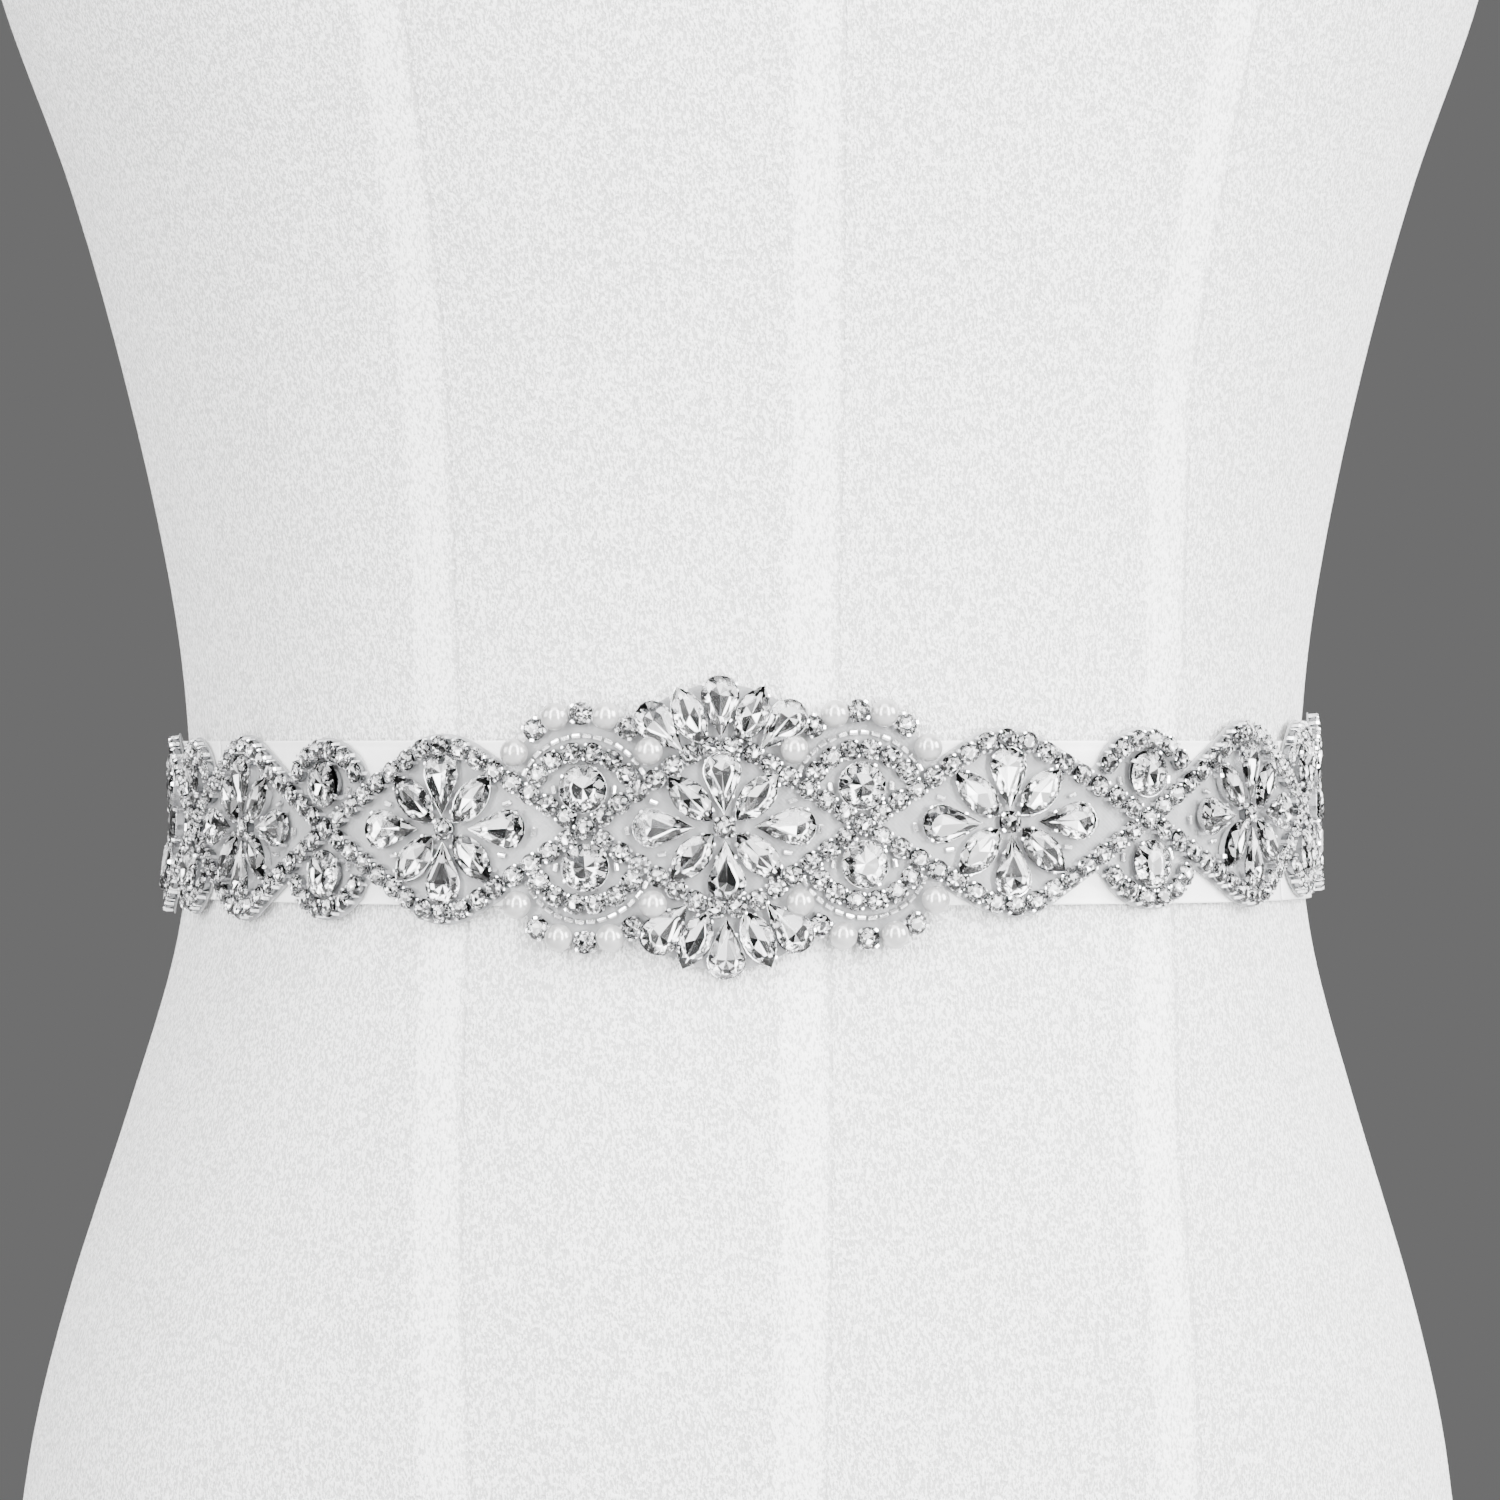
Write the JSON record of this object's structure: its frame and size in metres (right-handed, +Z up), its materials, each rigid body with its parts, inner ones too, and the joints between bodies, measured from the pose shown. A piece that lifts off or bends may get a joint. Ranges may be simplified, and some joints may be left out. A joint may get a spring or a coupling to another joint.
{
  "type": "bridal sash on dress form",
  "caption": "White satin ribbon sash with a crystal and pearl applique, tied round the waist of a limbless dress form.",
  "frame": {"origin": "middle of the dress form's flat base, on the surface it stands on", "axes": "+Z up the form, -Y towards the viewer of the sash's medallion, +X to the viewer's right"},
  "size_m": [0.3567, 0.2776, 0.7343],
  "materials": {
    "form_fabric": "matt fine weave",
    "form_board": "satin",
    "satin": "satin sheen",
    "film": "sheer net stiffened with clear glue",
    "crystal": "cut, foil backed",
    "setting": "bright silver plate",
    "pearl": "pearl lustre"
  },
  "bodies": {
    "root": {"form_torso": "form_fabric", "form_base_board": "form_board", "form_neck_cap": "form_board", "ribbon_front": "satin", "ribbon_right": "satin", "ribbon_left": "satin", "ribbon_knot": "satin", "ribbon_tail_right": "satin", "ribbon_tail_left": "satin", "applique_medallion": "film", "applique_left_flower_1": "film", "applique_left_link_2": "film", "applique_left_flower_2": "film", "applique_left_link_3": "film", "applique_left_flower_3": "film", "applique_right_flower_1": "film", "applique_right_link_2": "film", "applique_right_flower_2": "film", "applique_right_link_3": "film", "applique_right_flower_3": "film"}
  },
  "joints": []
}
